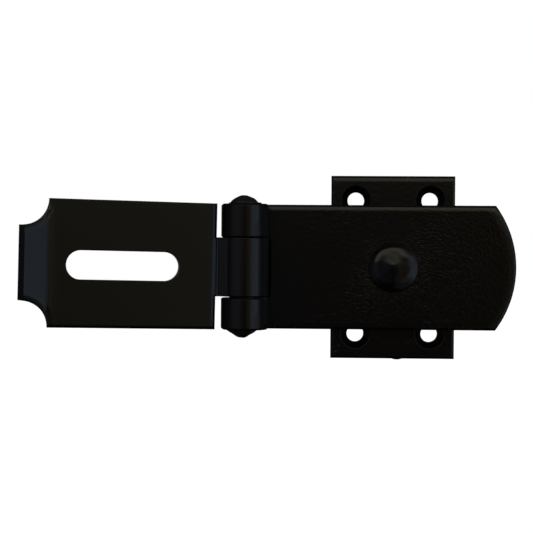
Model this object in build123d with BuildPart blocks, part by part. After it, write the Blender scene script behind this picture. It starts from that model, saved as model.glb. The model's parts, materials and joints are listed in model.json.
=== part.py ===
"""Swivel locking bar in flat steel, with a slotted flap on a rolled-knuckle hinge.

Upright, as it is fixed on a door: +X runs along the bar towards its rounded end,
+Y goes into the door, +Z is up. The origin is the middle of the fixing plate's
back face, on the axis that the bar swivels about. All sizes are in millimetres.
"""
from build123d import *
from math import acos, asin, atan2, cos, degrees, hypot, radians, sin, tan
import os

# Fixing plate
plate_width = 50.0
plate_height = 74.0
plate_thickness = 5.0
plate_front_round = 1.0
plate_back_round = 0.3
hole_edge_distance = 10.0
screw_hole_diameter = 6.8
countersink_diameter = 12.0
countersink_angle = 90.0
paint_run_width = 4.6
paint_run_thickness = 2.6
paint_run_depth = 0.45
paint_run_taper = 0.5
paint_run_offset = 2.0

# Flat strip that both the bar and the flap are cut from
strip_width = 50.0
strip_thickness = 5.0

# Bar
bar_front_round = 1.0
bar_back_bevel = 0.7
stud_to_bar_end = 49.0
bar_end_radius = 42.0
swivel_gap = 0.2

# Hinge
stud_to_hinge = 59.4
pin_diameter = 8.8
running_clearance = 0.1
roll_seam_gap = 0.3
upper_knuckle_length = 13.25
lower_knuckle_length = 12.6
tongue_gap_above = 0.15
tongue_gap_below = 0.6
notch_past_pin = 9.3
notch_front_bevel = 1.0
notch_corner_radius = 1.7
knuckle_edge_bevel = 0.4
knuckle_bevel_angle = 270.0

# Flap
flap_length = 66.0
flap_rest_angle = 14.9
flap_skew = 1.0
flap_front_stand = 1.2
strap_corner = 10.95
strap_overlap = 4.0
flap_shoulder_round = 1.2
flap_top_round = 0.3
flap_bottom_round = 1.4
flap_back_round = 0.5
strap_bend_radius = 1.5
slot_length = 44.3
slot_width = 11.4
slot_to_shoulder = 36.8
slot_drop = 0.5
slot_edge_break = 0.3
lip_length = 9.9
lip_angle = 25.0
lip_bend_radius = 3.0
scallop_radius = 10.5
scallop_into_leaf = 0.3

# Swivel stud
stud_diameter = 10.0
tenon_diameter = 8.0
rivet_diameter = 10.5
rivet_depth = 1.4
stud_head_diameter = 20.0
stud_head_rim = 0.5
stud_tip_diameter = 0.8
stud_crown_lean = (-0.2, 0.65)

# Diameter and height of each step of the peened crown over the bar's side of the head
stud_crown_steps = ((18.8, 1.1), (15.6, 2.2), (12.2, 2.9))
stud_tip_height = 3.5

# Hinge pin heads, each step a diameter and a share of the head's height
pin_head_diameter = 11.5
pin_head_steps = ((11.5, 0.12), (9.6, 0.68), (4.4, 1.0))
upper_head_height = 2.6
upper_head_shift = -0.3
lower_head_height = 3.2
lower_head_shift = -1.1
pin_collar_diameter = 10.0
pin_collar_height = 0.7
pin_end_gap = 0.1

# Places that follow from the sizes above
plate_front = -plate_thickness
bar_back = plate_front - swivel_gap
bar_front = bar_back - strip_thickness
bore_radius = pin_diameter / 2 + running_clearance
knuckle_radius = bore_radius + strip_thickness
hinge_x = -stud_to_hinge
hinge_y = bar_back - knuckle_radius
upper_knuckle_bottom = strip_width / 2 - upper_knuckle_length
lower_knuckle_top = -strip_width / 2 + lower_knuckle_length
notch_height = upper_knuckle_bottom - lower_knuckle_top
notch_middle = (upper_knuckle_bottom + lower_knuckle_top) / 2
notch_right = hinge_x + notch_past_pin
tongue_top = upper_knuckle_bottom - tongue_gap_above
tongue_bottom = lower_knuckle_top + tongue_gap_below
seam_reach = bore_radius - roll_seam_gap
notch_reach = 4 * knuckle_radius
notch_bevel_reach = 3 * notch_corner_radius
cut_reach = 2 * knuckle_radius - bar_back + swivel_gap

# The bar's rounded end is an arc about a point on the bar's middle line
end_trim_angle = 60.0
end_plane = Plane(
    origin=(stud_to_bar_end - bar_end_radius, 0, 0),
    x_dir=(cos(radians(end_trim_angle)), 0, sin(radians(end_trim_angle))),
    z_dir=(-sin(radians(end_trim_angle)), 0, cos(radians(end_trim_angle))),
)

# The flap is drawn in its own plane about the pin: X out along the flap, Y to its front
flap_direction = (-cos(radians(flap_rest_angle)), -sin(radians(flap_rest_angle)), 0)
flap_plane = Plane(origin=(hinge_x, hinge_y, 0), x_dir=flap_direction, z_dir=(0, 0, 1))
strap_reach = hypot(strap_corner, flap_front_stand)
strap_end_angle = degrees(atan2(flap_front_stand, strap_corner) + acos(knuckle_radius / strap_reach))
strap_end = (
    knuckle_radius * cos(radians(strap_end_angle)),
    knuckle_radius * sin(radians(strap_end_angle)),
)
strap_turn = 90 - strap_end_angle
flap_shoulder = strap_corner + strap_bend_radius * tan(radians(strap_turn / 2))
flap_cut_depth = 2 * strip_thickness
skew = radians(flap_skew)
leaf_plane = Plane(
    origin=flap_plane.from_local_coords((flap_shoulder, 0, 0)),
    x_dir=flap_plane.x_dir * cos(skew) + flap_plane.z_dir * sin(skew),
    z_dir=flap_plane.z_dir * cos(skew) - flap_plane.x_dir * sin(skew),
)
leaf_face = Plane(origin=leaf_plane.origin, x_dir=leaf_plane.x_dir, z_dir=-leaf_plane.y_dir)
lip_lean = radians(lip_angle)
lip_tip = (
    flap_length + lip_length * cos(lip_lean),
    flap_front_stand + lip_length * sin(lip_lean),
)
scallop_middle = flap_length - scallop_into_leaf + scallop_radius


def roll_angle(outer_radius):
    """Angle that a strip is rolled through before its end nears its own flat."""
    return 270 + degrees(asin(seam_reach / outer_radius))


def section_plane(path, width_direction=(0, 0, 1)):
    """Plane across a strip at the start of its path: X over its width, Y out of the side that leads."""
    return Plane(origin=path @ 0, x_dir=width_direction, z_dir=path % 0)


def head_sections(base, steps, lean=(0, 0)):
    """Circles of a hammered head: each step's diameter and height, drifting sideways as it leans."""
    sections = []
    for diameter, height in steps:
        with BuildSketch(base.offset(height)) as section:
            with Locations((lean[0] * height, lean[1] * height)):
                Circle(diameter / 2)
        sections.append(section.sketch)
    return sections


# Fixing plate: countersunk at its four corners, with the stud riveted through its middle
with BuildPart() as fixing_plate:
    with BuildSketch(Plane.XZ):
        Rectangle(plate_width, plate_height)
    extrude(amount=plate_thickness)
    plate_front_face = fixing_plate.faces().sort_by(Axis.Y)[0]
    plate_back_face = fixing_plate.faces().sort_by(Axis.Y)[-1]
    fillet(plate_front_face.edges(), plate_front_round)
    chamfer(plate_back_face.edges(), plate_back_round)
    with Locations(Plane.XZ.offset(plate_thickness)):
        with GridLocations(
            plate_width - 2 * hole_edge_distance,
            plate_height - 2 * hole_edge_distance,
            2,
            2,
        ):
            CounterSinkHole(
                radius=screw_hole_diameter / 2,
                counter_sink_radius=countersink_diameter / 2,
                counter_sink_angle=countersink_angle,
            )
    with BuildSketch(Plane.XY):
        with BuildLine():
            Polyline(
                (0, 0),
                (rivet_diameter / 2, 0),
                (tenon_diameter / 2, -rivet_depth),
                (tenon_diameter / 2, plate_front),
                (0, plate_front),
                close=True,
            )
        make_face()
    revolve(axis=Axis.Y, mode=Mode.SUBTRACT)
    with BuildSketch(Plane.XY.offset(-plate_height / 2)):
        with Locations((paint_run_offset, -plate_thickness / 2)):
            Ellipse(paint_run_width / 2, paint_run_thickness / 2)
    with BuildSketch(Plane.XY.offset(-plate_height / 2 - paint_run_depth)):
        with Locations((paint_run_offset, -plate_thickness / 2)):
            Ellipse(
                paint_run_taper * paint_run_width / 2,
                paint_run_taper * paint_run_thickness / 2,
            )
    loft()

# Swivel stud: riveted tenon, shoulder through the bar, peened head a little high of centre
stud_head_base = bar_front - swivel_gap
stud_crown_base = stud_head_base - stud_crown_steps[0][1]
with BuildPart() as swivel_stud:
    with BuildSketch(Plane.XY):
        with BuildLine():
            Polyline(
                (0, 0),
                (rivet_diameter / 2, 0),
                (tenon_diameter / 2, -rivet_depth),
                (tenon_diameter / 2, plate_front),
                (stud_diameter / 2, plate_front),
                (stud_diameter / 2, stud_head_base),
                (stud_head_diameter / 2, stud_head_base),
                (stud_head_diameter / 2, stud_head_base - stud_head_rim),
                (stud_crown_steps[0][0] / 2, stud_crown_base),
                (0, stud_crown_base),
                close=True,
            )
        make_face()
    revolve(axis=Axis.Y)
    crown_steps = [
        (diameter, height - stud_crown_steps[0][1])
        for diameter, height in (*stud_crown_steps, (stud_tip_diameter, stud_tip_height))
    ]
    loft(head_sections(Plane.XZ.offset(-stud_crown_base), crown_steps, stud_crown_lean), ruled=True)

# Bar: one strip, its end rolled to the front round the pin, then notched for the flap
with BuildPart() as bar:
    with BuildLine(Plane.XY) as bar_path:
        Line((stud_to_bar_end, bar_back), (hinge_x, bar_back))
        CenterArc((hinge_x, hinge_y), knuckle_radius, 90, roll_angle(knuckle_radius))
    with BuildSketch(section_plane(bar_path.line)) as bar_section:
        Rectangle(strip_width, strip_thickness, align=(Align.CENTER, Align.MAX))
        front_corners = bar_section.vertices().group_by(Axis.Y)[0]
        fillet(front_corners, bar_front_round)
        back_corners = bar_section.vertices().group_by(Axis.Y)[-1]
        chamfer(back_corners, bar_back_bevel)
    sweep()
    with BuildSketch(Plane.XZ):
        with Locations((notch_right, notch_middle)):
            RectangleRounded(
                notch_reach, notch_height, notch_corner_radius, align=(Align.MAX, Align.CENTER)
            )
    extrude(amount=-bar_front, mode=Mode.SUBTRACT)
    with BuildSketch(Plane.XZ.offset(-bar_front)):
        with Locations((hinge_x, notch_middle)):
            Rectangle(notch_reach, notch_height)
    extrude(amount=cut_reach, mode=Mode.SUBTRACT)
    for spread in (notch_front_bevel, 0):
        with BuildSketch(Plane.XZ.offset(spread - notch_front_bevel - bar_front)):
            with Locations((notch_right + spread, notch_middle)):
                RectangleRounded(
                    notch_bevel_reach + spread,
                    notch_height + 2 * spread,
                    notch_corner_radius + spread,
                    align=(Align.MAX, Align.CENTER),
                )
    loft(ruled=True, mode=Mode.SUBTRACT)
    for side, rim in ((1, upper_knuckle_bottom), (-1, lower_knuckle_top)):
        with BuildSketch(Plane(origin=(hinge_x, hinge_y, rim), x_dir=(0, 1, 0), z_dir=(1, 0, 0))):
            with BuildLine():
                Polyline(
                    (knuckle_radius - knuckle_edge_bevel, 0),
                    (knuckle_radius + knuckle_edge_bevel, 0),
                    (knuckle_radius + knuckle_edge_bevel, 2 * side * knuckle_edge_bevel),
                    close=True,
                )
            make_face()
        revolve(
            axis=Axis((hinge_x, hinge_y, 0), (0, 0, 1)),
            revolution_arc=knuckle_bevel_angle,
            mode=Mode.SUBTRACT,
        )
    with BuildSketch(Plane.XZ):
        Circle(stud_diameter / 2 + running_clearance)
    extrude(amount=cut_reach, mode=Mode.SUBTRACT)
    with BuildSketch(end_plane):
        with BuildLine():
            Polyline(
                (bar_end_radius - bar_front_round, bar_front),
                (bar_end_radius + strip_width, bar_front),
                (bar_end_radius + strip_width, bar_back),
                (bar_end_radius - bar_back_bevel, bar_back),
                (bar_end_radius, bar_back - bar_back_bevel),
                (bar_end_radius, bar_front + bar_front_round),
            )
            RadiusArc(
                (bar_end_radius, bar_front + bar_front_round),
                (bar_end_radius - bar_front_round, bar_front),
                bar_front_round,
            )
        make_face()
    revolve(
        axis=Axis(end_plane.origin, (0, 1, 0)),
        revolution_arc=2 * end_trim_angle,
        mode=Mode.SUBTRACT,
    )

# Flap: one strip, its tip bent up as a lip and its tongue rolled to the back over the pin.
# The leaf stands a little out of square to the tongue, as the strip was rolled.
with BuildPart() as flap:
    with BuildLine(leaf_plane) as leaf_path:
        FilletPolyline(
            lip_tip,
            (flap_length, flap_front_stand),
            (-strip_thickness, flap_front_stand),
            radius=lip_bend_radius,
        )
    with BuildSketch(section_plane(leaf_path.line, leaf_plane.z_dir)) as leaf_section:
        Rectangle(strip_width, strip_thickness, align=(Align.CENTER, Align.MAX))
        fillet(leaf_section.vertices().group_by(Axis.Y)[0], flap_back_round)
        fillet(leaf_section.vertices().group_by(Axis.Y)[-1].sort_by(Axis.X)[0], flap_bottom_round)
        fillet(leaf_section.vertices().group_by(Axis.Y)[-1].sort_by(Axis.X)[-1], flap_top_round)
    sweep()
    with BuildSketch(leaf_plane):
        with BuildLine():
            shoulder_round = RadiusArc(
                (0, flap_front_stand - flap_shoulder_round),
                (flap_shoulder_round, flap_front_stand),
                flap_shoulder_round,
            )
            Polyline(
                shoulder_round @ 1,
                (flap_shoulder_round, flap_cut_depth),
                (-flap_cut_depth, flap_cut_depth),
                (-flap_cut_depth, -flap_cut_depth),
                (0, -flap_cut_depth),
                shoulder_round @ 0,
            )
        make_face()
    extrude(amount=strip_width, both=True, mode=Mode.SUBTRACT)
    with BuildSketch(leaf_face):
        with Locations((slot_to_shoulder, -slot_drop)):
            SlotOverall(slot_length, slot_width)
    extrude(amount=flap_cut_depth, both=True, mode=Mode.SUBTRACT)
    slot_rims = flap.edges(Select.LAST).filter_by(lambda edge: edge.length > flap_cut_depth)
    chamfer(slot_rims, slot_edge_break)
    with BuildSketch(leaf_face):
        with Locations((scallop_middle, strip_width / 2), (scallop_middle, -strip_width / 2)):
            Circle(scallop_radius)
    extrude(amount=flap_cut_depth, both=True, mode=Mode.SUBTRACT)
    with BuildLine(flap_plane) as tongue_path:
        FilletPolyline(
            (flap_shoulder + strap_overlap, flap_front_stand),
            (strap_corner, flap_front_stand),
            strap_end,
            radius=strap_bend_radius,
        )
        CenterArc((0, 0), knuckle_radius, strap_end_angle, roll_angle(knuckle_radius))
    with BuildSketch(section_plane(tongue_path.line)) as tongue_section:
        with Locations(((tongue_top + tongue_bottom) / 2, 0)):
            Rectangle(tongue_top - tongue_bottom, strip_thickness, align=(Align.CENTER, Align.MAX))
        chamfer(tongue_section.vertices().group_by(Axis.Y)[-1], knuckle_edge_bevel)
    sweep()

# Hinge pin: plain shank with a hammered head at each end, the upper one on a small collar
knuckle_end = strip_width / 2 + pin_end_gap
with BuildPart() as hinge_pin:
    with BuildSketch(Plane(origin=(hinge_x, hinge_y, -knuckle_end))):
        Circle(pin_diameter / 2)
    extrude(amount=2 * knuckle_end)
    with BuildSketch(Plane(origin=(hinge_x, hinge_y, knuckle_end))):
        Circle(pin_collar_diameter / 2)
    extrude(amount=pin_collar_height)
    for side, seat, shift, height in (
        (1, knuckle_end + pin_collar_height, upper_head_shift, upper_head_height),
        (-1, knuckle_end, lower_head_shift, lower_head_height),
    ):
        head_base = Plane(origin=(hinge_x + shift, hinge_y, side * seat), z_dir=(0, 0, side))
        steps = [(diameter, share * height) for diameter, share in pin_head_steps]
        loft(head_sections(head_base, ((pin_head_diameter, 0), *steps)), ruled=True)

fixing_plate.part.label = "fixing_plate"
swivel_stud.part.label = "swivel_stud"
bar.part.label = "bar"
flap.part.label = "flap"
hinge_pin.part.label = "hinge_pin"

os.makedirs("parts", exist_ok=True)
export_step(fixing_plate.part, "parts/fixing_plate.step")
export_step(swivel_stud.part, "parts/swivel_stud.step")
export_step(bar.part, "parts/bar.step")
export_step(flap.part, "parts/flap.step")
export_step(hinge_pin.part, "parts/hinge_pin.step")
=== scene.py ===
"""Looks of a swivel locking bar: black paint on flat steel, with hammered stud and pin heads.

The packed model is the fixed frame: +X along the bar, +Y into the door, +Z up, in metres.
Tables of places and profiles are written in millimetres, and MM turns them into metres.
"""
import json
import math

import bmesh
import bpy
from bpy.props import FloatProperty, FloatVectorProperty, IntProperty, PointerProperty
from mathutils import Matrix, Vector, noise


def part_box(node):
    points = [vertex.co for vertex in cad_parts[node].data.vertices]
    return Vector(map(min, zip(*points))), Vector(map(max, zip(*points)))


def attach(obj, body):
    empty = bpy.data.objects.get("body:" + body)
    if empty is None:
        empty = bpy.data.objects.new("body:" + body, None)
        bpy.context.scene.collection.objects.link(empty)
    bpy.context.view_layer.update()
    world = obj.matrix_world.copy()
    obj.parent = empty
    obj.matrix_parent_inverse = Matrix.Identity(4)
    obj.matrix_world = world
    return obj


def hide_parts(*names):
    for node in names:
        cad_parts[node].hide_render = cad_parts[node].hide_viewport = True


bl_info = {
    "name": "Locking Bar Looks",
    "version": (1, 0, 0),
    "blender": (4, 5, 0),
    "location": "View3D > Sidebar > Locking Bar",
    "description": "Paint, peened heads and photo stage for a swivel locking bar",
    "category": "Object",
}

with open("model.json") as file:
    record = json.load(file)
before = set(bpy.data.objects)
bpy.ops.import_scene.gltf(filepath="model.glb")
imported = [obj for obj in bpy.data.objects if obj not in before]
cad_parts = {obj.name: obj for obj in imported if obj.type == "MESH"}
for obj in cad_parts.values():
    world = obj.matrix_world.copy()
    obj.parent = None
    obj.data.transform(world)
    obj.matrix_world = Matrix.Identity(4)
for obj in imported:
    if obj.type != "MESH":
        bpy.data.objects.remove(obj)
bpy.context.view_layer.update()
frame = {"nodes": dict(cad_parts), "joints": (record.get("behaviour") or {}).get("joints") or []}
PLATE_LOW, PLATE_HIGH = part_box("fixing_plate")
BAR_LOW, BAR_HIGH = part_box("bar")
HINGE = Vector(next(j["pos_m"] for j in frame["joints"] if j["name"] == "flap_hinge"))
MM = 0.001

# Keeps only a point's place across the door
ON_DOOR = (1.0, 0.0, 1.0)
WHITE = (1.0, 1.0, 1.0, 1.0)

# The dim room that the gloss shows. Each patch has its azimuth (0 towards the camera, + to the
# right), half width and softness, its elevation, half height and softness, all in degrees, and
# the light that it gives. A negative light is a darker stretch of what lies behind it.
ROOM = (
    ("camera side", (0, 60, 45), (4, 18, 24), (0.044, 0.040, 0.031)),
    ("camera and hands", (8, 3, 6), (-7, 7, 9), (-0.046, -0.043, -0.030)),
    ("floor shade", (10, 30, 20), (-12, 6, 8), (-0.006, -0.010, -0.006)),
    ("dark gap", (-9, 2, 6), (-4, 4, 7), (-0.012, -0.012, -0.013)),
    ("left wall", (-38, 8, 36), (4, 22, 30), (0.066, 0.076, 0.114)),
    ("far left", (-105, 12, 25), (4, 22, 30), (0.020, 0.018, 0.026)),
    ("warm wall", (20, 4, 16), (4, 18, 26), (0.086, 0.073, 0.032)),
    ("right window", (52, 12, 17), (0, 17, 18), (0.265, 0.345, 0.450)),
    ("right wall", (80, 15, 25), (4, 24, 30), (0.045, 0.050, 0.065)),
    ("warm corner", (50, 14, 16), (38, 10, 12), (0.190, 0.165, 0.130)),
    ("bench", (42, 18, 22), (-34, 8, 14), (0.085, 0.090, 0.092)),
    ("high lamp", (-12, 32, 22), (27, 13, 9), (0.570, 0.560, 0.415)),
    ("ceiling", (0, 180, 1), (90, 34, 16), (0.036, 0.032, 0.044)),
    ("backdrop", (180, 24, 16), (-6, 16, 12), (0.080, 0.080, 0.080)),
)

# Lamps of the plain light: azimuth and elevation in degrees, size in metres, radiance, colour
LAMPS = (
    ("right_window", 47, 4, (0.55, 1.1), 0.62, (0.80, 0.90, 1.0)),
    ("left_window", -60, 8, (1.2, 1.0), 0.16, (0.82, 0.88, 1.0)),
    ("top_softbox", 0, 66, (1.3, 0.9), 0.30, (1.0, 0.96, 0.84)),
)
LAMP_DISTANCE = 1.1


class PaintSettings(bpy.types.PropertyGroup):
    """Black paint on every piece"""

    flat_colour: FloatVectorProperty(
        name="Flat colour",
        description="Colour of the paint on the flat steel",
        subtype="COLOR",
        size=3,
        min=0.0,
        max=1.0,
        default=(0.0011, 0.0010, 0.0011),
    )
    head_colour: FloatVectorProperty(
        name="Head colour",
        description="Colour of the thinner paint on the stud's head",
        subtype="COLOR",
        size=3,
        min=0.0,
        max=1.0,
        default=(0.0009, 0.0008, 0.0011),
    )
    pin_colour: FloatVectorProperty(
        name="Pin colour",
        description="Colour of the dusty paint on the pin's heads",
        subtype="COLOR",
        size=3,
        min=0.0,
        max=1.0,
        default=(0.0050, 0.0042, 0.0036),
    )
    peel_size: FloatProperty(
        name="Peel size",
        description="Spacing of the orange peel in the bar's paint",
        subtype="DISTANCE",
        unit="LENGTH",
        default=0.70 * MM,
    )
    peel_depth: FloatProperty(
        name="Peel depth",
        description="Height of the orange peel where it is strongest",
        subtype="DISTANCE",
        unit="LENGTH",
        default=0.050 * MM,
    )
    edge_softness: FloatProperty(
        name="Edge softness",
        description="Radius that the paint builds on the sharp edges",
        subtype="DISTANCE",
        unit="LENGTH",
        default=0.25 * MM,
    )


class StudSettings(bpy.types.PropertyGroup):
    """Peened stud head"""

    ring_pitch: FloatProperty(
        name="Ring pitch",
        description="Spacing of the turned rings on the crown",
        subtype="DISTANCE",
        unit="LENGTH",
        default=0.85 * MM,
    )
    ring_depth: FloatProperty(
        name="Ring depth",
        description="Depth of the turned rings on the crown",
        subtype="DISTANCE",
        unit="LENGTH",
        default=0.018 * MM,
    )
    turns: IntProperty(
        name="Segments",
        description="Segments round the stud",
        default=192,
        min=24,
    )


class PinSettings(bpy.types.PropertyGroup):
    """Hammered heads of the hinge pin"""

    dent_size: FloatProperty(
        name="Dent size",
        description="Spacing of the hammer marks on the heads",
        subtype="DISTANCE",
        unit="LENGTH",
        default=2.6 * MM,
    )
    dent_depth: FloatProperty(
        name="Dent depth",
        description="Depth of the hammer marks on the heads",
        subtype="DISTANCE",
        unit="LENGTH",
        default=0.22 * MM,
    )
    turns: IntProperty(
        name="Segments",
        description="Segments round the pin",
        default=120,
        min=24,
    )


class StageSettings(bpy.types.PropertyGroup):
    """Camera and floor"""

    camera_distance: FloatProperty(
        name="Camera distance",
        description="Distance of the camera from the bar's front face",
        subtype="DISTANCE",
        unit="LENGTH",
        default=0.500,
    )
    camera_left: FloatProperty(
        name="Camera left",
        description="How far the camera stands to the hinge side of the stud",
        subtype="DISTANCE",
        unit="LENGTH",
        default=0.0306,
    )
    camera_height: FloatProperty(
        name="Camera height",
        description="Height of the camera over the stud",
        subtype="DISTANCE",
        unit="LENGTH",
        default=0.0067,
    )
    camera_pan: FloatProperty(
        name="Camera pan",
        description="Turn of the camera towards the flap",
        subtype="ANGLE",
        default=math.radians(2.33),
    )
    camera_tilt: FloatProperty(
        name="Camera tilt",
        description="Turn of the camera downwards",
        subtype="ANGLE",
        default=math.radians(0.76),
    )
    camera_roll: FloatProperty(
        name="Camera roll",
        description="Turn of the camera about its own axis",
        subtype="ANGLE",
        default=math.radians(0.39),
    )
    camera_lens: FloatProperty(
        name="Camera lens",
        description="Focal length on a 36 mm sensor, in millimetres",
        default=84.0,
    )
    floor_drop: FloatProperty(
        name="Floor drop",
        description="Distance of the floor under the plate's lower edge",
        subtype="DISTANCE",
        unit="LENGTH",
        default=0.22,
    )
    floor_colour: FloatVectorProperty(
        name="Floor colour",
        description="Colour of the floor",
        subtype="COLOR",
        size=3,
        min=0.0,
        max=1.0,
        default=(0.80, 0.80, 0.80),
    )


# Shader node helpers


def new_tree(material):
    """The material's emptied node tree, and a new output node in it."""
    material.use_nodes = True
    tree = material.node_tree
    tree.nodes.clear()
    return tree, tree.nodes.new("ShaderNodeOutputMaterial")


def feed(tree, socket, value):
    """Links a socket to another one, or gives it a plain value."""
    if isinstance(value, bpy.types.NodeSocket):
        tree.links.new(value, socket)
    else:
        socket.default_value = value


def math_node(tree, operation, *values, clamp=False):
    """A Math node on sockets or numbers; returns its output."""
    node = tree.nodes.new("ShaderNodeMath")
    node.operation = operation
    node.use_clamp = clamp
    for socket, value in zip(node.inputs, values):
        feed(tree, socket, value)
    return node.outputs[0]


def product(tree, first, *others):
    """The product of sockets and numbers."""
    for other in others:
        first = math_node(tree, "MULTIPLY", first, other)
    return first


def vector_node(tree, operation, *values, scale=None):
    """A Vector Math node on sockets or vectors; returns its vector, or the number it measures."""
    node = tree.nodes.new("ShaderNodeVectorMath")
    node.operation = operation
    for socket, value in zip(node.inputs, values):
        feed(tree, socket, value)
    if scale is not None:
        feed(tree, node.inputs["Scale"], scale)
    return node.outputs["Value" if operation in ("LENGTH", "DOT_PRODUCT") else "Vector"]


def ray_kinds(tree):
    """The kinds of ray by name, and 1 where the camera sees, directly or through something."""
    rays = tree.nodes.new("ShaderNodeLightPath").outputs
    return rays, math_node(tree, "MAXIMUM", rays["Is Camera Ray"], rays["Is Transmission Ray"])


def split_axes(tree, vector):
    """The X, Y and Z of a vector, by name."""
    node = tree.nodes.new("ShaderNodeSeparateXYZ")
    tree.links.new(vector, node.inputs["Vector"])
    return node.outputs


def ramp(tree, value, start, end, low=0.0, high=1.0, kind="SMOOTHSTEP"):
    """A ramp of a value from low at start to high at end."""
    node = tree.nodes.new("ShaderNodeMapRange")
    node.interpolation_type = kind
    tree.links.new(value, node.inputs["Value"])
    node.inputs["From Min"].default_value = start
    node.inputs["From Max"].default_value = end
    node.inputs["To Min"].default_value = low
    node.inputs["To Max"].default_value = high
    return node.outputs["Result"]


def noise_node(tree, vector, scale, detail=2.0, roughness=0.5, output="Fac"):
    """A noise texture; returns one of its outputs."""
    node = tree.nodes.new("ShaderNodeTexNoise")
    feed(tree, node.inputs["Vector"], vector)
    feed(tree, node.inputs["Scale"], scale)
    node.inputs["Detail"].default_value = detail
    node.inputs["Roughness"].default_value = roughness
    return node.outputs[output]


def new_group(name, inputs, outputs):
    """A shader node group; returns its tree, the sockets it is given and those it puts out."""
    tree = bpy.data.node_groups.new(name, "ShaderNodeTree")
    for socket, kind, value in inputs:
        made = tree.interface.new_socket(name=socket, in_out="INPUT", socket_type=kind)
        if value is not None:
            made.default_value = value
    for socket, kind in outputs:
        tree.interface.new_socket(name=socket, in_out="OUTPUT", socket_type=kind)
    given = tree.nodes.new("NodeGroupInput").outputs
    return tree, given, tree.nodes.new("NodeGroupOutput").inputs


def place_group(tree, group, **values):
    """Places a node group by name, with its own values; spaces in names are underscores."""
    node = tree.nodes.new("ShaderNodeGroup")
    node.node_tree = bpy.data.node_groups[group]
    for name, value in values.items():
        feed(tree, node.inputs[name.replace("_", " ")], value)
    return node


# Effects that several paints share, and the patches of the room


def peel_group():
    """Orange peel: soft worm-like ridges in the paint, as a height of about 0 to 1."""
    group, given, out = new_group(
        "orange_peel",
        (
            ("Vector", "NodeSocketVector", None),
            ("Spacing", "NodeSocketFloat", 1.25 * MM),
            ("Strength", "NodeSocketFloat", 1.0),
        ),
        (("Height", "NodeSocketFloat"),),
    )
    drift_scale, sway_reach = 0.22, 1.6
    ridge_narrowing, ridge_share, body_share = 3.2, 0.2, 1.5
    scale = math_node(group, "DIVIDE", 1.0, given["Spacing"])
    broad_scale = product(group, scale, drift_scale)
    drift = noise_node(group, given["Vector"], broad_scale, 1.0, output="Color")
    sway = vector_node(group, "SUBTRACT", drift, (0.5, 0.5, 0.5))
    sway_size = product(group, given["Spacing"], sway_reach)
    swayed = vector_node(group, "SCALE", sway, scale=sway_size)
    moved = vector_node(group, "ADD", given["Vector"], swayed)
    cells = noise_node(group, moved, scale, 0.6, 0.4)
    off_middle = math_node(group, "ABSOLUTE", math_node(group, "SUBTRACT", cells, 0.5))
    ridge = math_node(group, "SUBTRACT", 1.0, product(group, off_middle, ridge_narrowing))
    body = product(group, cells, body_share)
    both = math_node(group, "MULTIPLY_ADD", ridge, ridge_share, body)
    group.links.new(product(group, both, given["Strength"]), out["Height"])


def tone_group():
    """Uneven tone of the paint: broad clouds and fine dust specks over a base colour."""
    group, given, out = new_group(
        "paint_tone",
        (
            ("Vector", "NodeSocketVector", None),
            ("Paint", "NodeSocketColor", None),
            ("Clouds", "NodeSocketFloat", 0.2),
            ("Specks", "NodeSocketFloat", 0.1),
        ),
        (("Color", "NodeSocketColor"), ("Roughness", "NodeSocketFloat")),
    )
    cloud_scale, speck_scale, speck_dullness = 60.0, 2600.0, 0.35
    clouds = noise_node(group, given["Vector"], cloud_scale, 3.0)
    specks = noise_node(group, given["Vector"], speck_scale, 2.0, 0.6)
    broad = product(group, math_node(group, "SUBTRACT", clouds, 0.5), given["Clouds"])
    fine = product(group, math_node(group, "SUBTRACT", specks, 0.5), given["Specks"])
    gain = math_node(group, "ADD", math_node(group, "ADD", broad, fine), 1.0)
    group.links.new(vector_node(group, "SCALE", given["Paint"], scale=gain), out["Color"])
    group.links.new(product(group, fine, speck_dullness), out["Roughness"])


def roll_group():
    """Gentle roll of a face towards an edge, as a height in metres that falls off near the edge."""
    group, given, out = new_group(
        "edge_roll",
        (
            ("Distance", "NodeSocketFloat", 0.0),
            ("Width", "NodeSocketFloat", 2.5 * MM),
            ("Radius", "NodeSocketFloat", 8.0 * MM),
        ),
        (("Height", "NodeSocketFloat"),),
    )
    inside = math_node(group, "SUBTRACT", given["Width"], given["Distance"])
    near = math_node(group, "MAXIMUM", inside, 0.0)
    near = math_node(group, "MINIMUM", near, given["Width"])
    drop = math_node(group, "DIVIDE", product(group, near, near), given["Radius"])
    group.links.new(product(group, drop, -0.5), out["Height"])


def patch_group():
    """A soft-edged patch of the room round the object, as a mask by direction in degrees."""
    group, given, out = new_group(
        "room_patch",
        (
            ("Azimuth", "NodeSocketFloat", 0.0),
            ("Elevation", "NodeSocketFloat", 0.0),
            ("Middle", "NodeSocketFloat", 0.0),
            ("Half Width", "NodeSocketFloat", 10.0),
            ("Side Softness", "NodeSocketFloat", 10.0),
            ("Height", "NodeSocketFloat", 0.0),
            ("Half Height", "NodeSocketFloat", 10.0),
            ("End Softness", "NodeSocketFloat", 10.0),
        ),
        (("Mask", "NodeSocketFloat"),),
    )
    around = math_node(group, "SUBTRACT", given["Azimuth"], given["Middle"])
    around = math_node(group, "WRAP", around, 180.0, -180.0)
    above = math_node(group, "SUBTRACT", given["Elevation"], given["Height"])
    masks = []
    for off, half, soft in (
        (around, "Half Width", "Side Softness"),
        (above, "Half Height", "End Softness"),
    ):
        past = math_node(group, "SUBTRACT", math_node(group, "ABSOLUTE", off), given[half])
        share = math_node(group, "DIVIDE", past, given[soft])
        masks.append(ramp(group, share, 0.0, 1.0, 1.0, 0.0))
    group.links.new(product(group, *masks), out["Mask"])


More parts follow.
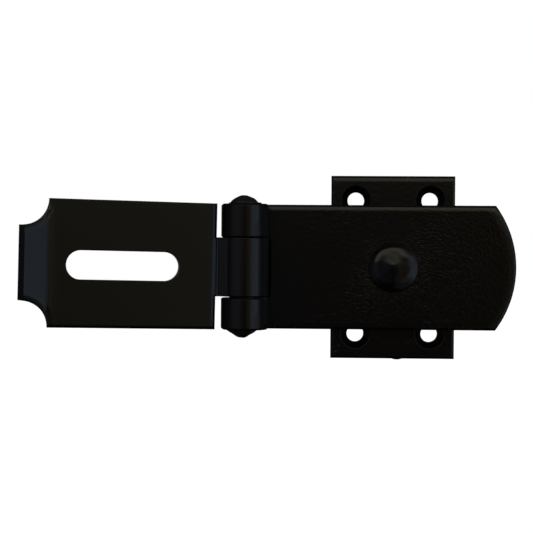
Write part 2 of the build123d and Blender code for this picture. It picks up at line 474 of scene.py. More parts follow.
def paint_material(name, colour, roughness):
    """A black paint; returns it with its tree, shader, object coordinates and bump in metres."""
    settings = bpy.context.scene.locking_bar_paint
    material = bpy.data.materials.new(name)
    tree, output = new_tree(material)
    shader = tree.nodes.new("ShaderNodeBsdfPrincipled")
    shader.inputs["Roughness"].default_value = roughness
    tree.links.new(shader.outputs["BSDF"], output.inputs["Surface"])
    place = tree.nodes.new("ShaderNodeTexCoord").outputs["Object"]
    paint = (*colour, 1.0)
    tone = place_group(tree, "paint_tone", Vector=place, Paint=paint, Clouds=0.25, Specks=0.12)
    tree.links.new(tone.outputs["Color"], shader.inputs["Base Color"])
    rough = math_node(tree, "ADD", tone.outputs["Roughness"], roughness, clamp=True)
    tree.links.new(rough, shader.inputs["Roughness"])
    soft = tree.nodes.new("ShaderNodeBevel")
    soft.samples = 6
    soft.inputs["Radius"].default_value = settings.edge_softness
    bump = tree.nodes.new("ShaderNodeBump")
    bump.inputs["Strength"].default_value = 1.0
    bump.inputs["Distance"].default_value = 1.0
    tree.links.new(soft.outputs["Normal"], bump.inputs["Normal"])
    tree.links.new(bump.outputs["Normal"], shader.inputs["Normal"])
    return material, tree, shader, place, bump


def grained_paint(name, colour, roughness, scale, depth):
    """A black paint over metal with a grain of its own; its depth is in metres."""
    material, tree, shader, place, bump = paint_material(name, colour, roughness)
    grain = noise_node(tree, place, scale, 3.0)
    tree.links.new(product(tree, grain, depth), bump.inputs["Height"])
    return material


def peel_height(tree, vector, spacing, strength):
    """Orange peel as a height in metres."""
    depth = bpy.context.scene.locking_bar_paint.peel_depth
    peel = place_group(tree, "orange_peel", Vector=vector, Spacing=spacing, Strength=strength)
    return product(tree, peel.outputs["Height"], depth)


def add_roll(tree, height, distance, width, radius, share=1.0):
    """A paint's height with the roll of one edge added; width and radius are in millimetres."""
    roll = place_group(
        tree, "edge_roll", Distance=distance, Width=width * MM, Radius=radius * MM
    )
    return math_node(tree, "MULTIPLY_ADD", roll.outputs["Height"], share, height)


def dull_down(tree, shader, mask, amount):
    """Adds roughness where the mask is, on top of what feeds the shader."""
    socket = shader.inputs["Roughness"]
    before = socket.links[0].from_socket
    rough = math_node(tree, "MULTIPLY_ADD", mask, amount, before, clamp=True)
    tree.links.new(rough, socket)


# Mesh helpers


def dress(piece, material):
    """Gives a piece one material."""
    piece.data.materials.clear()
    piece.data.materials.append(material)


def add_piece(name, mesh):
    """Puts a finished mesh into the scene as an object."""
    data = bpy.data.meshes.new(name)
    mesh.to_mesh(data)
    mesh.free()
    piece = bpy.data.objects.new(name, data)
    bpy.context.scene.collection.objects.link(piece)
    return piece


def lathe(name, rings, turns, matrix):
    """Closed turned mesh. Each ring is a radius, a height and a sideways shift, along local +Z."""
    mesh = bmesh.new()
    angles = [2 * math.pi * step / turns for step in range(turns)]
    loops = []
    for radius, height, (x, y) in rings:
        if radius <= 0:
            points = [(x, y, height)]
        else:
            points = [(x + radius * math.cos(a), y + radius * math.sin(a), height) for a in angles]
        loops.append([mesh.verts.new(point) for point in points])
    for lower, upper in zip(loops, loops[1:]):
        for step in range(turns):
            after = (step + 1) % turns
            if len(lower) == 1:
                mesh.faces.new((lower[0], upper[after], upper[step]))
            elif len(upper) == 1:
                mesh.faces.new((lower[step], lower[after], upper[0]))
            else:
                mesh.faces.new((lower[step], lower[after], upper[after], upper[step]))
    bmesh.ops.recalc_face_normals(mesh, faces=mesh.faces)
    bmesh.ops.transform(mesh, matrix=matrix, verts=mesh.verts)
    return add_piece(name, mesh)


def sharpen(piece, angle):
    """Smooth shading that stays crisp at edges steeper than the angle in degrees."""
    piece.data.shade_smooth()
    piece.data.set_sharp_from_angle(angle=math.radians(angle))


def curve_between(p, q, r, s, t):
    """Catmull-Rom curve from q at t = 0 to r at t = 1, with p before and s after them."""
    slope = r - p
    bend = 2 * p - 5 * q + 4 * r - s
    swing = 3 * q - p - 3 * r + s
    return 0.5 * (2 * q + slope * t + bend * t**2 + swing * t**3)


def smooth_profile(points, steps):
    """Smooth curve through (radius, height) points, with steps between each pair."""
    ends = [points[0], *points, points[-1]]
    curve = []
    for four in zip(ends, ends[1:], ends[2:], ends[3:]):
        for step in range(steps):
            curve.append(tuple(curve_between(*values, step / steps) for values in zip(*four)))
    curve.append(points[-1])
    return curve


class LOCKINGBAR_OT_effects(bpy.types.Operator):
    """Build the shader groups that the paints and the surround use"""

    bl_idname = "lockingbar.effects"
    bl_label = "Shared effects"

    def execute(self, context):
        for build in (peel_group, tone_group, roll_group, patch_group):
            build()
        return {"FINISHED"}


class LOCKINGBAR_OT_plate(bpy.types.Operator):
    """Paint the fixing plate, with its scratched arc and nicks"""

    bl_idname = "lockingbar.plate"
    bl_label = "Fixing plate"

    scratch_radius: FloatProperty(
        name="Scratch radius",
        description="Radius of the arc that the turning bar scratched",
        subtype="DISTANCE",
        unit="LENGTH",
        default=31.0 * MM,
    )
    roughness = 0.19
    peel_spacing, peel_strength = 1.6 * MM, 0.40
    # Width and radius of the gentle rolls along the short and the long edges, in millimetres
    end_roll, side_roll = (2.6, 9.0), (1.2, 3.4)
    # The scratch wavers, falls steeply and rises gently, and has gaps. It fades out towards the
    # stud's height and towards the sides.
    waver_scale, waver_size = 220.0, 1.2 * MM
    scratch_fall, scratch_rise = (-0.25 * MM, 0.05 * MM), (0.05 * MM, 1.60 * MM)
    scratch_depth = 0.05 * MM
    gap_scale, gap_edge = 420.0, (0.46, 0.58)
    scratch_top, scratch_ends = (-26.0 * MM, -29.0 * MM), (9.5 * MM, 12.0 * MM)
    # Nicks: place across and up from the stud, and size, in millimetres
    nicks = ((-14.9, -34.4, 0.7), (-22.8, -34.0, 0.5), (-21.7, -31.7, 0.5))
    nick_shape = (0.55, 1.0, 1.0)
    nick_depth = 0.05 * MM

    def execute(self, context):
        paint = context.scene.locking_bar_paint
        material, tree, shader, place, bump = paint_material(
            "plate_paint", paint.flat_colour, self.roughness
        )
        axes = split_axes(tree, place)
        height = peel_height(tree, place, self.peel_spacing, self.peel_strength)
        scratch = product(tree, self.scratch_mask(tree, place, axes), self.scratch_depth)
        height = math_node(tree, "SUBTRACT", height, scratch)
        for axis, half, roll in (
            ("Z", PLATE_HIGH.z, self.end_roll),
            ("X", PLATE_HIGH.x, self.side_roll),
        ):
            off_middle = math_node(tree, "ABSOLUTE", axes[axis])
            inside = math_node(tree, "SUBTRACT", half, off_middle)
            height = add_roll(tree, height, inside, *roll)
        flat = vector_node(tree, "MULTIPLY", place, ON_DOOR)
        for x, z, size in self.nicks:
            away = vector_node(tree, "SUBTRACT", flat, (x * MM, 0.0, z * MM))
            squashed = vector_node(tree, "MULTIPLY", away, self.nick_shape)
            off_nick = vector_node(tree, "LENGTH", squashed)
            nick = ramp(tree, off_nick, 0.0, size * MM, -self.nick_depth, 0.0)
            height = math_node(tree, "ADD", height, nick)
        tree.links.new(height, bump.inputs["Height"])
        dress(frame["nodes"]["fixing_plate"], material)
        return {"FINISHED"}

    def scratch_mask(self, tree, place, axes):
        """Mask of the broken arc that the bar's corner scratched."""
        reach = vector_node(tree, "LENGTH", vector_node(tree, "MULTIPLY", place, ON_DOOR))
        waver = product(tree, noise_node(tree, place, self.waver_scale, 3.0), self.waver_size)
        wavy = math_node(tree, "ADD", reach, waver)
        past_arc = math_node(tree, "SUBTRACT", wavy, self.scratch_radius)
        fall = ramp(tree, past_arc, *self.scratch_fall)
        rise = ramp(tree, past_arc, *self.scratch_rise, 1.0, 0.0)
        patchy = ramp(tree, noise_node(tree, place, self.gap_scale), *self.gap_edge)
        below = ramp(tree, axes["Z"], *self.scratch_top)
        aside = math_node(tree, "ABSOLUTE", axes["X"])
        inner = ramp(tree, aside, *self.scratch_ends, 1.0, 0.0)
        return product(tree, fall, rise, patchy, below, inner)


class LOCKINGBAR_OT_bar(bpy.types.Operator):
    """Paint the bar, with orange peel that grows away from the hinge"""

    bl_idname = "lockingbar.bar"
    bl_label = "Bar"

    ripple_stretch: FloatProperty(
        name="Ripple stretch",
        description="Radius about the stud at which the peel is as long as it is wide",
        subtype="DISTANCE",
        unit="LENGTH",
        default=17.0 * MM,
    )
    roughness = 0.17
    # Radius of the solid's rounded end
    end_radius = 42.0 * MM
    # Where the flat starts and where its peel is full, from the hinge
    flat_start, peel_growth = (9.0 * MM, 10.2 * MM), (9.0 * MM, 30.0 * MM)
    # Strength of the peel at the hinge and past it, at the top and the bottom, and in patches
    peel_along, peel_down, peel_patches = (0.55, 1.0), (0.75, 1.2), (0.7, 1.25)
    patch_scale, patch_edge = 45.0, (0.3, 0.7)
    # Width and radius of the gentle rolls along the sides and the end, in millimetres
    side_roll, end_roll = (2.6, 8.0), (4.0, 24.0)
    # Worn ovals on the knuckles: middles and half sizes in millimetres
    ovals = ((-54.4, 14.6), (-54.2, -21.2))
    oval_size = (1.3, 3.3)
    oval_edge = (0.7, 1.2)
    dullness = 0.25
    # Paint gathered in the notch, in millimetres: two bars by their corners in the frame, and
    # two discs about the pin by radius, foot and top
    bead_bars = (
        ((-51.0, -8.4, -12.0), (-50.1, -5.7, 11.5)),
        ((-54.5, -9.5, -12.42), (-50.1, -5.7, -12.02)),
    )
    bead_discs = ((6.2, -12.42, -12.02), (8.9, 11.66, 11.77))
    bead_softness = 0.12 * MM

    def execute(self, context):
        paint = context.scene.locking_bar_paint
        material, tree, shader, place, bump = paint_material(
            "bar_paint", paint.flat_colour, self.roughness
        )
        axes = split_axes(tree, place)
        past_hinge = math_node(tree, "SUBTRACT", axes["X"], HINGE.x)
        on_flat = ramp(tree, past_hinge, *self.flat_start)
        grown = ramp(tree, past_hinge, *self.peel_growth, *self.peel_along)
        low = ramp(tree, axes["Z"], BAR_HIGH.z, BAR_LOW.z, *self.peel_down)
        clouds = noise_node(tree, place, self.patch_scale)
        patches = ramp(tree, clouds, *self.patch_edge, *self.peel_patches)
        strength = product(tree, on_flat, grown, low, patches)
        height = peel_height(tree, self.ripple_place(tree, place), paint.peel_size, strength)
        off_middle = math_node(tree, "ABSOLUTE", axes["Z"])
        to_side = math_node(tree, "SUBTRACT", BAR_HIGH.z, off_middle)
        height = add_roll(tree, height, to_side, *self.side_roll, on_flat)
        to_end = self.distance_to_end(tree, place, axes)
        height = add_roll(tree, height, to_end, *self.end_roll, on_flat)
        tree.links.new(height, bump.inputs["Height"])
        dull_down(tree, shader, self.worn_mask(tree, place), self.dullness)
        dress(frame["nodes"]["bar"], material)
        self.add_beads(material)
        return {"FINISHED"}

    def ripple_place(self, tree, place):
        """Coordinates that run out from the stud and round it, so that the peel rings the stud."""
        outward = vector_node(tree, "MULTIPLY", place, ON_DOOR)
        bearing = vector_node(tree, "NORMALIZE", outward)
        round_stud = vector_node(tree, "SCALE", bearing, scale=self.ripple_stretch)
        turned = split_axes(tree, round_stud)
        ripple = tree.nodes.new("ShaderNodeCombineXYZ")
        tree.links.new(vector_node(tree, "LENGTH", outward), ripple.inputs["X"])
        tree.links.new(turned["X"], ripple.inputs["Y"])
        tree.links.new(turned["Z"], ripple.inputs["Z"])
        return ripple.outputs["Vector"]

    def distance_to_end(self, tree, place, axes):
        """Distance to the rounded end, which only counts on the bar's far half."""
        from_middle = vector_node(tree, "SUBTRACT", place, (BAR_HIGH.x - self.end_radius, 0.0, 0.0))
        reach = vector_node(tree, "LENGTH", vector_node(tree, "MULTIPLY", from_middle, ON_DOOR))
        to_end = math_node(tree, "SUBTRACT", self.end_radius, reach)
        near_half = math_node(tree, "LESS_THAN", axes["X"], BAR_HIGH.x - 0.5 * self.end_radius)
        return math_node(tree, "MULTIPLY_ADD", near_half, self.end_radius, to_end)

    def worn_mask(self, tree, place):
        """Mask of the two worn ovals on the knuckles."""
        masks = []
        for x, z in self.ovals:
            away = vector_node(tree, "SUBTRACT", place, (x * MM, 0.0, z * MM))
            shape = (self.oval_size[0] * MM, 1.0, self.oval_size[1] * MM)
            reach = vector_node(tree, "LENGTH", vector_node(tree, "DIVIDE", away, shape))
            masks.append(ramp(tree, reach, *self.oval_edge, 1.0, 0.0))
        return math_node(tree, "MAXIMUM", *masks)

    def add_beads(self, material):
        """Paint that has gathered in the notch round the flap's tongue."""
        mesh = bmesh.new()
        for low, high in self.bead_bars:
            middle = [(a + b) / 2 * MM for a, b in zip(low, high)]
            size = [(b - a) * MM for a, b in zip(low, high)]
            matrix = Matrix.Translation(middle) @ Matrix.Diagonal((*size, 1.0))
            made = bmesh.ops.create_cube(mesh, size=1.0, matrix=matrix)
            bmesh.ops.bevel(
                mesh,
                geom=list(dict.fromkeys(edge for v in made["verts"] for edge in v.link_edges)),
                offset=self.bead_softness,
                segments=2,
                affect="EDGES",
            )
        for radius, low, high in self.bead_discs:
            bmesh.ops.create_cone(
                mesh,
                cap_ends=True,
                segments=96,
                radius1=radius * MM,
                radius2=radius * MM,
                depth=(high - low) * MM,
                matrix=Matrix.Translation((HINGE.x, HINGE.y, (low + high) / 2 * MM)),
            )
        beads = add_piece("notch_beads", mesh)
        sharpen(beads, 40)
        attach(beads, "arm")
        dress(beads, material)


class LOCKINGBAR_OT_flap(bpy.types.Operator):
    """Paint the flap with a smooth satin coat"""

    bl_idname = "lockingbar.flap"
    bl_label = "Flap"

    crease_past_bend: FloatProperty(
        name="Crease past bend",
        description="Distance of the fine crease past the start of the bend",
        subtype="DISTANCE",
        unit="LENGTH",
        default=0.9 * MM,
    )
    strap_flattening: FloatProperty(
        name="Strap flattening",
        description="Slope by which the paint flattens the strap between leaf and knuckle",
        default=0.38,
    )
    roughness = 0.20
    peel_spacing, peel_strength = 2.6 * MM, 0.11
    # The solid's own sizes: how far it stands forward at rest, how far its leaf is out of square,
    # its width, its shoulders' distance from the pin, and its bend's and its scallops' from them
    rest_angle, leaf_skew = math.radians(14.9), math.radians(1.0)
    leaf_width, shoulder, bend_reach = 50.0 * MM, 11.7 * MM, 65.3 * MM
    scallop_radius, scallop_middle = 10.5 * MM, 76.2 * MM
    # Width and radius of the gentle rolls, in millimetres
    shoulder_roll, bottom_roll = (2.1, 5.2), (1.8, 5.5)
    bend_roll, scallop_roll = (4.4, 46.0), (3.6, 6.5)
    # The scallops' roll is full on the lip and only a share of it is left on the leaf
    lip_edge, leaf_share = (-0.6 * MM, 1.0 * MM), 0.25
    # The strap's two ends, from the hinge
    strap_ends = (-11.2 * MM, -6.4 * MM)
    crease_edge, crease_depth = (0.05 * MM, 0.45 * MM), 0.04 * MM
    # The dent beside the upper scallop: its place past the bend and up the leaf, and its slant
    dent_past_bend, dent_height, dent_slant = 0.3 * MM, 19.2 * MM, 0.75
    dent_narrowing, dent_shortening = 1.5, 0.8
    dent_edge, dent_depth = (0.2 * MM, 2.0 * MM), 0.30 * MM
    # Where the dulled paint of dent and crease starts and ends, and how much of it there is
    dent_dulled, crease_dulled = (0.3 * MM, 1.9 * MM, 0.8), (0.1 * MM, 0.55 * MM, 0.55)
    dullness = 0.5

    def execute(self, context):
        paint = context.scene.locking_bar_paint
        material, tree, shader, place, bump = paint_material(
            "flap_paint", paint.flat_colour, self.roughness
        )
        reach, rise = self.leaf_place(tree, place)
        to_shoulder = math_node(tree, "SUBTRACT", reach, self.shoulder)
        to_bottom = math_node(tree, "ADD", rise, 0.5 * self.leaf_width)
        to_bend = math_node(tree, "SUBTRACT", self.shoulder + self.bend_reach, reach)
        to_scallop = self.distance_to_scallop(tree, reach, rise)
        on_leaf = math_node(tree, "GREATER_THAN", reach, self.shoulder)
        on_lip = ramp(tree, to_bend, *self.lip_edge, 1.0, self.leaf_share)
        height = peel_height(tree, place, self.peel_spacing, self.peel_strength)
        for distance, roll, share in (
            (to_shoulder, self.shoulder_roll, on_leaf),
            (to_bottom, self.bottom_roll, on_leaf),
            (to_bend, self.bend_roll, product(tree, on_leaf, -1.0)),
            (to_scallop, self.scallop_roll, on_lip),
        ):
            height = add_roll(tree, height, distance, *roll, share)
        past_crease = math_node(tree, "ADD", to_bend, self.crease_past_bend)
        off_crease = math_node(tree, "ABSOLUTE", past_crease)
        off_dent = self.distance_to_dent(tree, reach, rise)
        for change in (
            self.strap_slope(tree, place),
            ramp(tree, off_crease, *self.crease_edge, -self.crease_depth, 0.0),
            ramp(tree, off_dent, *self.dent_edge, -self.dent_depth, 0.0),
        ):
            height = math_node(tree, "ADD", height, change)
        tree.links.new(height, bump.inputs["Height"])
        dark = ramp(tree, off_dent, *self.dent_dulled, 0.0)
        line = ramp(tree, off_crease, *self.crease_dulled, 0.0)
        dull_down(tree, shader, math_node(tree, "MAXIMUM", dark, line), self.dullness)
        dress(frame["nodes"]["flap"], material)
        return {"FINISHED"}

    def leaf_place(self, tree, place):
        """Distance out from the pin along the leaf, and height across it."""
        lean, skew = self.rest_angle, self.leaf_skew
        along = Vector((-math.cos(lean), -math.sin(lean), 0.0))
        out = along * math.cos(skew) + Vector((0.0, 0.0, math.sin(skew)))
        across = Vector((0.0, 0.0, math.cos(skew))) - along * math.sin(skew)
        from_pin = vector_node(tree, "SUBTRACT", place, HINGE)
        return [vector_node(tree, "DOT_PRODUCT", from_pin, way) for way in (out, across)]

    def distance_to_scallop(self, tree, reach, rise):
        """Distance to the edge of the nearer scallop."""
        aside = math_node(tree, "SUBTRACT", reach, self.shoulder + self.scallop_middle)
        off_middle = math_node(tree, "ABSOLUTE", rise)
        inward = math_node(tree, "SUBTRACT", 0.5 * self.leaf_width, off_middle)
        squares = math_node(tree, "MULTIPLY_ADD", aside, aside, product(tree, inward, inward))
        return math_node(tree, "SUBTRACT", math_node(tree, "SQRT", squares), self.scallop_radius)

    def strap_slope(self, tree, place):
        """Even slope of the paint from the leaf's end of the strap to the knuckle's."""
        past_hinge = math_node(tree, "SUBTRACT", split_axes(tree, place)["X"], HINGE.x)
        start, end = self.strap_ends
        drop = (start - end) * self.strap_flattening
        return ramp(tree, past_hinge, start, end, 0.0, drop, kind="LINEAR")

    def distance_to_dent(self, tree, reach, rise):
        """Distance to the slanting dent at the upper end of the bend."""
        dent_reach = self.shoulder + self.bend_reach + self.dent_past_bend
        past = math_node(tree, "SUBTRACT", reach, dent_reach)
        above = math_node(tree, "SUBTRACT", rise, self.dent_height)
        slant = math_node(tree, "MULTIPLY_ADD", above, self.dent_slant, past)
        across = product(tree, math_node(tree, "ABSOLUTE", slant), self.dent_narrowing)
        along = math_node(tree, "ABSOLUTE", above)
        return math_node(tree, "MULTIPLY_ADD", along, self.dent_shortening, across)


class LOCKINGBAR_OT_stud(bpy.types.Operator):
    """Turn the stud with its peened, ringed head a little high of centre"""

    bl_idname = "lockingbar.stud"
    bl_label = "Swivel stud"

    roughness = 0.16
    # Radius and height of the shank from the plate's back, in millimetres
    shank = (
        (0.0, 0.0),
        (5.25, 0.0),
        (5.25, 0.02),
        (4.0, 1.4),
        (4.0, 5.0),
        (5.0, 5.0),
        (5.0, 10.4),
        (10.0, 10.4),
    )
    head_base = shank[-1][1] * MM
    # Radius and height of the crown from the head's base, with a low ringed cone on top
    crown = ((10.0, 0.45), (9.9, 0.7), (9.5, 1.05), (8.0, 2.0), (7.0, 2.42), (6.1, 2.65))
    crown_steps = 10
    cone_height, cone_steps = 0.85, 44
    # How fast the rings set in at the cone's foot and fade out at its tip
    ring_start, ring_end = 4.0, 3.5
    # The peened metal leans aside and up from this height over the head's base
    lean_from, lean = 1.1, (-0.2, 0.65)
    # Unevenness of the crown: its scale, its height and the height over which it sets in
    rim = 0.5 * MM
    uneven_scale, uneven_height, uneven_start = 420.0, 0.07 * MM, 1.5 * MM
    # Scale and depth of the paint's grain
    grain = (900.0, 0.02 * MM)

    def execute(self, context):
        paint = context.scene.locking_bar_paint
        settings = context.scene.locking_bar_stud
        turn = Matrix.Rotation(math.radians(90), 4, "X")
        piece = lathe("stud_turned", self.profile(settings), settings.turns, turn)
        for vertex in piece.data.vertices:
            depth = -vertex.co.y - self.head_base - self.rim
            if depth > 0:
                swell = noise.noise(vertex.co * self.uneven_scale) * self.uneven_height
                vertex.co.y -= swell * min(1.0, depth / self.uneven_start)
        sharpen(piece, 50)
        material = grained_paint("stud_paint", paint.head_colour, self.roughness, *self.grain)
        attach(piece, "plate")
        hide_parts("swivel_stud")
        dress(piece, material)
        return {"FINISHED"}

    def profile(self, settings):
        """Rings of the stud from the plate's back to the tip of the crown."""
        rings = [(radius * MM, height * MM, (0.0, 0.0)) for radius, height in self.shank]
        for radius, height in smooth_profile(self.crown, self.crown_steps):
            rings.append((radius * MM, self.head_base + height * MM, self.leaning(height)))
        top_radius, top_height = self.crown[-1]
        for step in range(1, self.cone_steps + 1):
            share = step / self.cone_steps
            radius = top_radius * (1 - share)
            wave = math.sin(2 * math.pi * radius * MM / settings.ring_pitch)
            fade = min(1.0, self.ring_start * share, self.ring_end * (1 - share))
            height = top_height + self.cone_height * share
            height += settings.ring_depth / MM * wave * fade
            rings.append((radius * MM, self.head_base + height * MM, self.leaning(top_height)))
        return rings

    def leaning(self, height):
        """Sideways shift of a ring at a height over the head's base."""
        rise = max(0.0, height - self.lean_from)
        return tuple(share * rise * MM for share in self.lean)


class LOCKINGBAR_OT_pin(bpy.types.Operator):
    """Hammer the two heads of the hinge pin"""

    bl_idname = "lockingbar.pin"
    bl_label = "Hinge pin"

    roughness = 0.34
    # Half length and radius of the shank, and radius and height of the upper head's collar, in
    # millimetres
    end, shank = 25.1, 4.4
    collar_radius, collar_height = 6.5, 0.45
    seat = end + collar_height
    # Each head's radius in millimetres and share of its height, then its height and shift
    upper = ((5.5, 0.0), (5.45, 0.08), (4.7, 0.36), (3.5, 0.66), (1.9, 0.9), (0.9, 0.99))
    lower = ((6.1, 0.0), (5.9, 0.10), (4.7, 0.34), (3.4, 0.58), (2.0, 0.84), (0.9, 0.98))
    head_steps = 8
    upper_height, upper_shift = 2.85, -0.35
    lower_height, lower_shift = 3.2, -1.1
    # The metal between the marks swells where the noise is under this level, and does so more
    # and more over this height
    swell_level, swell_start = 0.35, 1.0 * MM
    # Scale and depth of the paint's grain
    grain = (700.0, 0.06 * MM)

    def execute(self, context):
        paint = context.scene.locking_bar_paint
        settings = context.scene.locking_bar_pin
        matrix = Matrix.Translation((HINGE.x, HINGE.y, 0.0))
        piece = lathe("pin_hammered", self.profile(), settings.turns, matrix)
        for vertex in piece.data.vertices:
            over = abs(vertex.co.z) - (self.seat if vertex.co.z > 0 else self.end) * MM
            if over > 0:
                swell = min(0.0, noise.noise(vertex.co / settings.dent_size) - self.swell_level)
                swell *= settings.dent_depth * min(1.0, over / self.swell_start)
                vertex.co.z += math.copysign(swell, vertex.co.z)
        sharpen(piece, 50)
        material = grained_paint("pin_paint", paint.pin_colour, self.roughness, *self.grain)
        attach(piece, "arm")
        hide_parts("hinge_pin")
        dress(piece, material)
        return {"FINISHED"}

    def profile(self):
        """Rings of the pin from the foot of its lower head to the top of its upper one."""
        rings = [(0.0, -(self.end + self.lower_height), self.lower_shift)]
        for radius, share in reversed(smooth_profile(self.lower, self.head_steps)):
            rings.append((radius, -(self.end + share * self.lower_height), self.lower_shift))
        rings.append((self.shank, -self.end, 0.0))
        rings.append((self.shank, self.end, 0.0))
        rings.append((self.collar_radius, self.end, 0.0))
        rings.append((self.collar_radius, self.seat, 0.0))
        for radius, share in smooth_profile(self.upper, self.head_steps):
            rings.append((radius, self.seat + share * self.upper_height, self.upper_shift))
        rings.append((0.0, self.seat + self.upper_height, self.upper_shift))
        return [(radius * MM, height * MM, (shift * MM, 0.0)) for radius, height, shift in rings]


class LOCKINGBAR_OT_stage(bpy.types.Operator):
    """Set the floor, the white surround, the lamps and the camera"""

    bl_idname = "lockingbar.stage"
    bl_label = "Stage"

    floor_radius = 6.0
    # The floor's glow and the plain light together show the floor white to the camera
    floor_glow, plain_light = 0.45, 0.75
    # The bar's front face, from the hinge
    bar_front = 4.5 * MM

    def execute(self, context):
        settings = context.scene.locking_bar_stage
        scene = context.scene
        scene.view_settings.view_transform = "Standard"
        self.add_floor(settings)
        self.add_world(scene)
        for lamp in LAMPS:
            self.add_softbox(scene, *lamp)
        self.add_camera(settings, scene)
        return {"FINISHED"}

    def add_floor(self, settings):
        """Pale floor under the object, which keeps the object's shadow."""
        mesh = bmesh.new()
        bmesh.ops.create_circle(mesh, cap_ends=True, segments=96, radius=self.floor_radius)
        floor = add_piece("floor", mesh)
        floor.location = (0.0, 0.0, PLATE_LOW.z - settings.floor_drop)
        material = bpy.data.materials.new("floor_paint")
        tree, output = new_tree(material)
        shader = tree.nodes.new("ShaderNodeBsdfPrincipled")
        shader.inputs["Base Color"].default_value = (*settings.floor_colour, 1.0)
        shader.inputs["Roughness"].default_value = 0.9
        shader.inputs["Specular IOR Level"].default_value = 0.0
        glow = tree.nodes.new("ShaderNodeEmission")
        glow.inputs["Color"].default_value = WHITE
        rays, seen = ray_kinds(tree)
        tree.links.new(product(tree, seen, self.floor_glow), glow.inputs["Strength"])
        both = tree.nodes.new("ShaderNodeAddShader")
        tree.links.new(shader.outputs["BSDF"], both.inputs[0])
        tree.links.new(glow.outputs["Emission"], both.inputs[1])
        tree.links.new(both.outputs["Shader"], output.inputs["Surface"])
        floor.data.materials.append(material)
        floor.visible_glossy = False

    def add_world(self, scene):
        """White behind the object, plain light on it, and a dim room in its gloss."""
        world = bpy.data.worlds.new("studio")
        scene.world = world
        world.use_nodes = True
        tree = world.node_tree
        tree.nodes.clear()
        rays, seen = ray_kinds(tree)
        plain = self.add_background(tree, WHITE, self.plain_light)
        dim = self.add_background(tree, self.room_light(tree), 1.0)
        white = self.add_background(tree, WHITE, 1.0)
        by_gloss = self.mix_shaders(tree, rays["Is Glossy Ray"], plain, dim)
        output = tree.nodes.new("ShaderNodeOutputWorld")
        tree.links.new(self.mix_shaders(tree, seen, by_gloss, white), output.inputs["Surface"])

    def room_light(self, tree):
        """Light of the dim room by direction, as the sum of its patches."""
        way = split_axes(tree, tree.nodes.new("ShaderNodeTexCoord").outputs["Generated"])
        turn = math_node(tree, "ARCTAN2", way["X"], product(tree, way["Y"], -1.0))
        azimuth = product(tree, turn, math.degrees(1))
        elevation = product(tree, math_node(tree, "ARCSINE", way["Z"]), math.degrees(1))
        room = (0.0, 0.0, 0.0)
        for name, across, upward, colour in ROOM:
            patch = place_group(
                tree,
                "room_patch",
                Azimuth=azimuth,
                Elevation=elevation,
                Middle=across[0],
                Half_Width=across[1],
                Side_Softness=across[2],
                Height=upward[0],
                Half_Height=upward[1],
                End_Softness=upward[2],
            )
            patch.label = name
            light = vector_node(tree, "SCALE", colour, scale=patch.outputs["Mask"])
            room = vector_node(tree, "ADD", room, light)
        return vector_node(tree, "MAXIMUM", room, (0.0, 0.0, 0.0))

    def add_background(self, tree, colour, strength):
        """A background shader of one light; returns its output."""
        node = tree.nodes.new("ShaderNodeBackground")
        feed(tree, node.inputs["Color"], colour)
        node.inputs["Strength"].default_value = strength
        return node.outputs["Background"]

    def mix_shaders(self, tree, share, first, second):
        """The first shader where the share is 0 and the second where it is 1."""
        node = tree.nodes.new("ShaderNodeMixShader")
        for socket, value in zip(node.inputs, (share, first, second)):
            tree.links.new(value, socket)
        return node.outputs["Shader"]

    def add_softbox(self, scene, name, azimuth, elevation, size, radiance, colour):
        """A soft lamp that faces the object. Azimuth 0 is the camera's side, + to the right."""
        data = bpy.data.lights.new(name, "AREA")
        data.shape = "RECTANGLE"
        data.size, data.size_y = size
        data.energy = radiance * math.pi * size[0] * size[1]
        data.color = colour
        lamp = bpy.data.objects.new(name, data)
        scene.collection.objects.link(lamp)
        lamp.visible_glossy = False
        a, e = math.radians(azimuth), math.radians(elevation)
        way = Vector((math.sin(a) * math.cos(e), -math.cos(a) * math.cos(e), math.sin(e)))
        lamp.location = LAMP_DISTANCE * way
        lamp.rotation_euler = (-way).to_track_quat("-Z", "Y").to_euler()

    def add_camera(self, settings, scene):
        """Camera where the photo was taken from."""
        data = bpy.data.cameras.new("camera")
        data.lens = settings.camera_lens
        data.sensor_width = 36.0
        data.clip_start = 0.01
        camera = bpy.data.objects.new("camera", data)
        scene.collection.objects.link(camera)
        turn = (
            Matrix.Rotation(settings.camera_pan, 4, "Z")
            @ Matrix.Rotation(math.radians(90) - settings.camera_tilt, 4, "X")
            @ Matrix.Rotation(settings.camera_roll, 4, "Z")
        )
        back = HINGE.y + self.bar_front - settings.camera_distance
        place = Vector((-settings.camera_left, back, settings.camera_height))
        camera.matrix_world = Matrix.Translation(place) @ turn
        scene.camera = camera


class LOCKINGBAR_PT_panel(bpy.types.Panel):
    """Settings and steps of the locking bar's looks"""

    bl_idname = "LOCKINGBAR_PT_panel"
    bl_label = "Locking Bar"
    bl_space_type = "VIEW_3D"
    bl_region_type = "UI"
    bl_category = "Locking Bar"

    def draw(self, context):
        layout = self.layout
        for name, kind in SETTINGS:
            group = getattr(context.scene, name)
            box = layout.box()
            box.label(text=kind.__doc__)
            for field in kind.__annotations__:
                box.prop(group, field)
        for operator in OPERATORS:
            layout.operator(operator.bl_idname)


SETTINGS = (
    ("locking_bar_paint", PaintSettings),
    ("locking_bar_stud", StudSettings),
    ("locking_bar_pin", PinSettings),
    ("locking_bar_stage", StageSettings),
)
OPERATORS = (
    LOCKINGBAR_OT_effects,
    LOCKINGBAR_OT_plate,
    LOCKINGBAR_OT_bar,
    LOCKINGBAR_OT_flap,
    LOCKINGBAR_OT_stud,
    LOCKINGBAR_OT_pin,
    LOCKINGBAR_OT_stage,
)


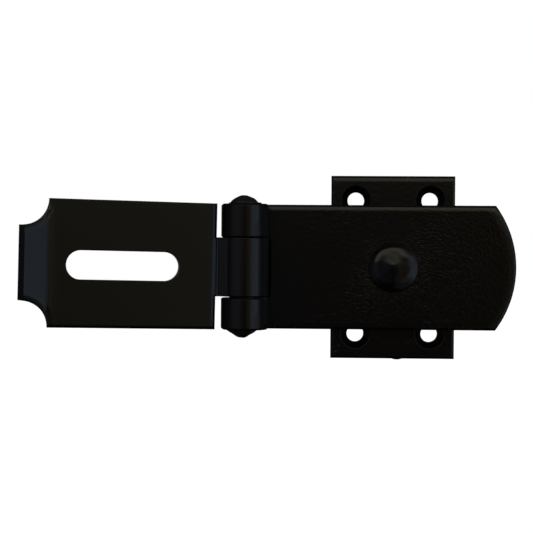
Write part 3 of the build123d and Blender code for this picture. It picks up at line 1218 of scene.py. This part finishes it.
def register():
    for name, kind in SETTINGS:
        bpy.utils.register_class(kind)
        setattr(bpy.types.Scene, name, PointerProperty(type=kind))
    for operator in OPERATORS:
        bpy.utils.register_class(operator)
    bpy.utils.register_class(LOCKINGBAR_PT_panel)


def unregister():
    bpy.utils.unregister_class(LOCKINGBAR_PT_panel)
    for operator in reversed(OPERATORS):
        bpy.utils.unregister_class(operator)
    for name, kind in reversed(SETTINGS):
        delattr(bpy.types.Scene, name)
        bpy.utils.unregister_class(kind)


def main():
    """Builds the looks in order."""
    register()
    bpy.ops.lockingbar.effects()
    bpy.ops.lockingbar.plate()
    bpy.ops.lockingbar.bar()
    bpy.ops.lockingbar.flap()
    bpy.ops.lockingbar.stud()
    bpy.ops.lockingbar.pin()
    bpy.ops.lockingbar.stage()


if __name__ == "__main__":
    main()
